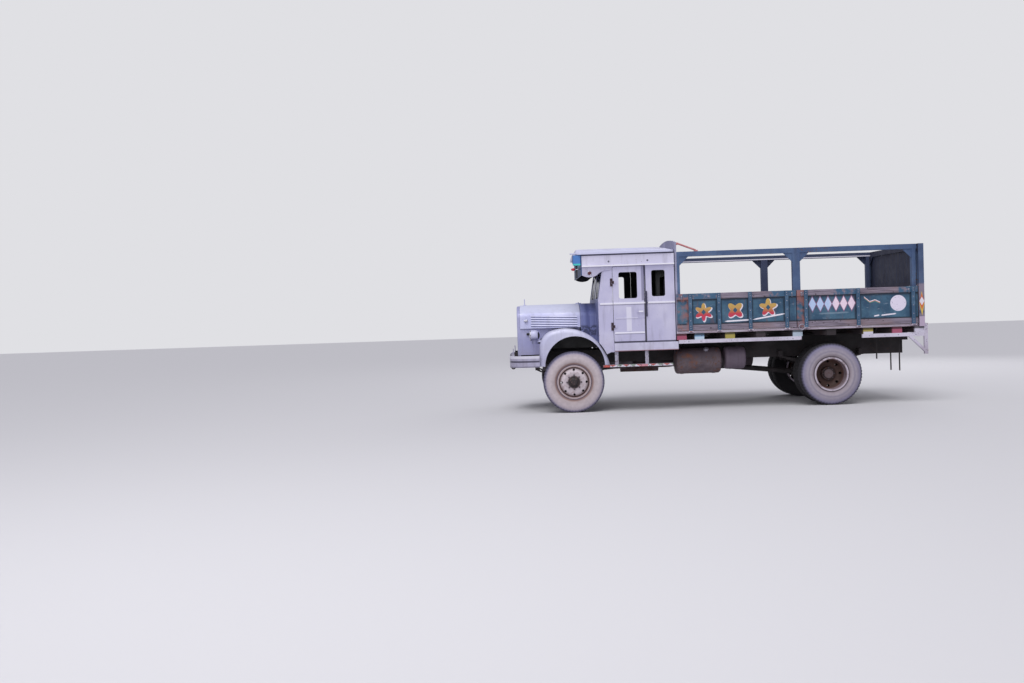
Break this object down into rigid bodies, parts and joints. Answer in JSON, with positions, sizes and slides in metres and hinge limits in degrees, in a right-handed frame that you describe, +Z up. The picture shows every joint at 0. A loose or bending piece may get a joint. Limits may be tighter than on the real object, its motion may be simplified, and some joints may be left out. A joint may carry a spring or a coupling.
{
  "type": "bonneted drop-side truck",
  "caption": "Bonneted cargo truck with a closed cab, opening doors and bonnet, steered front wheels, twin rear wheels, a framed plank body with drop sides and a tailgate.",
  "frame": {"origin": "on the ground under the middle of the length and width", "axes": "+X to the rear along the length, +Z up, the left side is -Y"},
  "size_m": [6.8698, 2.366, 2.8495],
  "materials": {
    "cab_paint": "dusty satin",
    "chassis_steel": "dusty black",
    "bumper_paint": "satin",
    "engine_iron": "rough",
    "exhaust_steel": "rusty",
    "tank_steel": "rusty",
    "radiator_metal": "dull",
    "lamp_glass": "gloss",
    "window_glass": "gloss",
    "seat_vinyl": "worn",
    "wheel_rubber": "matte",
    "step_paint": "satin",
    "bearer_paint": "painted ends",
    "plank_wood": "weathered",
    "headboard_paint": "painted",
    "body_paint": "weathered",
    "rail_paint": "satin",
    "rod_paint": "satin",
    "tyre": "dusty",
    "wheel_paint": "dusty",
    "wheel_rust": "rusty"
  },
  "bodies": {
    "chassis": {"ladder_frame": "chassis_steel", "cross_members": "chassis_steel", "spring_hangers": "chassis_steel", "front_bumper": "bumper_paint", "leaf_springs": "chassis_steel", "front_axle_beam": "chassis_steel", "rear_axle_housing": "chassis_steel", "engine": "engine_iron", "propeller_shaft": "chassis_steel", "exhaust": "exhaust_steel", "tanks": "tank_steel", "grille_shell": "cab_paint", "grille_bars": "cab_paint", "radiator": "radiator_metal", "fender_left": "cab_paint", "fender_right": "cab_paint", "lamps": "lamp_glass", "cab_floor": "cab_paint", "cab_front": "cab_paint", "cab_side_left": "cab_paint", "cab_side_right": "cab_paint", "cab_back": "cab_paint", "cab_roof": "cab_paint", "roof_visor": "cab_paint", "windscreen": "window_glass", "seat_bench": "seat_vinyl", "dashboard": "cab_paint", "steering_wheel": "wheel_rubber", "cab_steps": "step_paint", "cargo_bearers": "bearer_paint", "body_runners": "bearer_paint", "cargo_floor": "plank_wood", "headboard": "headboard_paint", "top_frame": "body_paint", "rear_portal": "body_paint", "side_rails": "rail_paint", "brace_rod": "rod_paint", "hanging_straps": "chassis_steel"},
    "steering_knuckle_left": {"knuckle_left": "chassis_steel"},
    "steering_knuckle_right": {"knuckle_right": "chassis_steel"},
    "track_rod": {"tie_rod": "chassis_steel"},
    "front_wheel_left": {"front_tyre_left": "tyre", "front_wheel_left": "wheel_paint"},
    "front_wheel_right": {"front_tyre_right": "tyre", "front_wheel_right": "wheel_paint"},
    "rear_wheels_left": {"rear_tyres_left": "tyre", "rear_wheels_left": "wheel_rust"},
    "rear_wheels_right": {"rear_tyres_right": "tyre", "rear_wheels_right": "wheel_rust"},
    "door_left": {"door_left": "cab_paint"},
    "door_right": {"door_right": "cab_paint"},
    "bonnet": {"bonnet": "cab_paint"},
    "tailgate": {"tailgate": "body_paint"},
    "side_gate_front_left": {"side_gate_front_left": "body_paint"},
    "side_gate_front_right": {"side_gate_front_right": "body_paint"},
    "side_gate_rear_left": {"side_gate_rear_left": "body_paint"},
    "side_gate_rear_right": {"side_gate_rear_right": "body_paint"}
  },
  "joints": [
    {"name": "steer_left", "type": "hinge", "parent": "chassis", "child": "steering_knuckle_left", "pos_m": [-2.365, -0.81, 0.509], "axis": [0, 0, 1], "range_deg": [-35, 35]},
    {"name": "steer_right", "type": "hinge", "parent": "chassis", "child": "steering_knuckle_right", "pos_m": [-2.365, 0.81, 0.509], "axis": [0, 0, 1], "range_deg": [-35, 35]},
    {"name": "track_rod_pivot", "type": "hinge", "parent": "steering_knuckle_left", "child": "track_rod", "pos_m": [-2.165, -0.81, 0.4], "axis": [0, 0, 1], "range_deg": [-35, 35]},
    {"name": "front_wheel_left_spin", "type": "hinge", "parent": "steering_knuckle_left", "child": "front_wheel_left", "pos_m": [-2.365, -0.965, 0.509], "axis": [0, -1, 0], "continuous": true},
    {"name": "front_wheel_right_spin", "type": "hinge", "parent": "steering_knuckle_right", "child": "front_wheel_right", "pos_m": [-2.365, 0.965, 0.509], "axis": [0, -1, 0], "continuous": true},
    {"name": "rear_wheels_left_spin", "type": "hinge", "parent": "chassis", "child": "rear_wheels_left", "pos_m": [1.86, -0.8625, 0.509], "axis": [0, -1, 0], "continuous": true},
    {"name": "rear_wheels_right_spin", "type": "hinge", "parent": "chassis", "child": "rear_wheels_right", "pos_m": [1.86, 0.8625, 0.509], "axis": [0, -1, 0], "continuous": true},
    {"name": "door_left_hinge", "type": "hinge", "parent": "chassis", "child": "door_left", "pos_m": [-1.695, -1.093, 1.77], "axis": [0, 0, -1], "range_deg": [0, 70]},
    {"name": "door_right_hinge", "type": "hinge", "parent": "chassis", "child": "door_right", "pos_m": [-1.695, 1.093, 1.77], "axis": [0, 0, 1], "range_deg": [0, 70]},
    {"name": "bonnet_hinge", "type": "hinge", "parent": "chassis", "child": "bonnet", "pos_m": [-2.202, 0, 1.831], "axis": [0, 1, 0], "range_deg": [0, 50]},
    {"name": "tailgate_hinge", "type": "hinge", "parent": "chassis", "child": "tailgate", "pos_m": [3.384, 0, 1.282], "axis": [0, 1, 0], "range_deg": [0, 175]},
    {"name": "side_gate_front_left_hinge", "type": "hinge", "parent": "chassis", "child": "side_gate_front_left", "pos_m": [0.335, -1.172, 1.282], "axis": [1, 0, 0], "range_deg": [0, 175]},
    {"name": "side_gate_front_right_hinge", "type": "hinge", "parent": "chassis", "child": "side_gate_front_right", "pos_m": [0.335, 1.172, 1.282], "axis": [-1, 0, 0], "range_deg": [0, 175]},
    {"name": "side_gate_rear_left_hinge", "type": "hinge", "parent": "chassis", "child": "side_gate_rear_left", "pos_m": [2.295, -1.172, 1.282], "axis": [1, 0, 0], "range_deg": [0, 175]},
    {"name": "side_gate_rear_right_hinge", "type": "hinge", "parent": "chassis", "child": "side_gate_rear_right", "pos_m": [2.295, 1.172, 1.282], "axis": [-1, 0, 0], "range_deg": [0, 175]}
  ],
  "couplings": [
    {"joint": "steer_right", "follows": "steer_left", "ratio": 1},
    {"joint": "track_rod_pivot", "follows": "steer_left", "ratio": -1}
  ]
}
